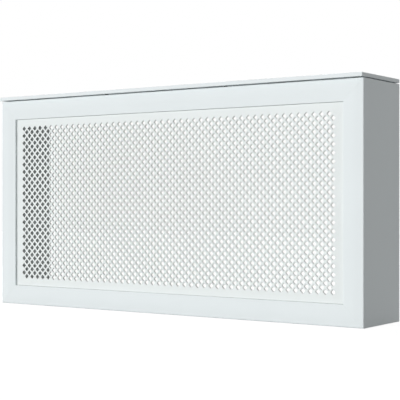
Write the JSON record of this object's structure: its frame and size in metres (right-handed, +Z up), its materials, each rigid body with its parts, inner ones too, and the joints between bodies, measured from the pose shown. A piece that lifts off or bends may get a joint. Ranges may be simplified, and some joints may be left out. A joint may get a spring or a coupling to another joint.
{
  "type": "radiator cover cabinet",
  "caption": "White box cover for a radiator: mitred front frame round a diamond-perforated panel, plain sides, open back and a lift-off lid over a shadow gap.",
  "frame": {"origin": "on the floor, under the centre of the bounding box", "axes": "+X along the front to the right, +Y from the front to the wall, +Z up"},
  "size_m": [1.201, 0.207, 0.6125],
  "materials": {
    "lacquered_mdf": "satin white lacquer on MDF",
    "lacquered_hdf": "satin white lacquer on 4 mm perforated HDF",
    "bare_wood": "bare beech",
    "zinc_steel": "zinc-plated steel",
    "rubber_pad": "matt black rubber"
  },
  "bodies": {
    "cabinet": {"bottom_rail": "lacquered_mdf", "frame_angle_left_bottom": "zinc_steel", "frame_angle_left_bottom_a_screw": "zinc_steel", "frame_angle_left_bottom_b_screw": "zinc_steel", "frame_angle_left_middle": "zinc_steel", "frame_angle_left_middle_a_screw": "zinc_steel", "frame_angle_left_middle_b_screw": "zinc_steel", "frame_angle_left_top": "zinc_steel", "frame_angle_left_top_a_screw": "zinc_steel", "frame_angle_left_top_b_screw": "zinc_steel", "frame_angle_right_bottom": "zinc_steel", "frame_angle_right_bottom_a_screw": "zinc_steel", "frame_angle_right_bottom_b_screw": "zinc_steel", "frame_angle_right_middle": "zinc_steel", "frame_angle_right_middle_a_screw": "zinc_steel", "frame_angle_right_middle_b_screw": "zinc_steel", "frame_angle_right_top": "zinc_steel", "frame_angle_right_top_a_screw": "zinc_steel", "frame_angle_right_top_b_screw": "zinc_steel", "left_cleat": "lacquered_mdf", "left_cleat_front_screw": "zinc_steel", "left_cleat_rear_screw": "zinc_steel", "left_side_panel": "lacquered_mdf", "left_stile": "lacquered_mdf", "lid_pad_left_front": "rubber_pad", "lid_pad_left_rear": "rubber_pad", "lid_pad_rail_left": "rubber_pad", "lid_pad_rail_right": "rubber_pad", "lid_pad_right_front": "rubber_pad", "lid_pad_right_rear": "rubber_pad", "lid_pad_stretcher_left": "rubber_pad", "lid_pad_stretcher_right": "rubber_pad", "mitre_spline_bottom_left": "bare_wood", "mitre_spline_bottom_right": "bare_wood", "mitre_spline_top_left": "bare_wood", "mitre_spline_top_right": "bare_wood", "perforated_panel": "lacquered_hdf", "rear_stretcher": "lacquered_mdf", "right_cleat": "lacquered_mdf", "right_cleat_front_screw": "zinc_steel", "right_cleat_rear_screw": "zinc_steel", "right_side_panel": "lacquered_mdf", "right_stile": "lacquered_mdf", "stretcher_angle_left": "zinc_steel", "stretcher_angle_left_a_screw": "zinc_steel", "stretcher_angle_left_b_screw": "zinc_steel", "stretcher_angle_right": "zinc_steel", "stretcher_angle_right_a_screw": "zinc_steel", "stretcher_angle_right_b_screw": "zinc_steel", "top_rail": "lacquered_mdf"},
    "lid": {"lid_dowel_left_front": "bare_wood", "lid_dowel_left_rear": "bare_wood", "lid_dowel_right_front": "bare_wood", "lid_dowel_right_rear": "bare_wood", "lid_panel": "lacquered_mdf"}
  },
  "joints": [
    {"name": "lid_lift", "type": "slide", "parent": "cabinet", "child": "lid", "axis": [0, 0, 1], "range_m": [0, 0.12]}
  ]
}
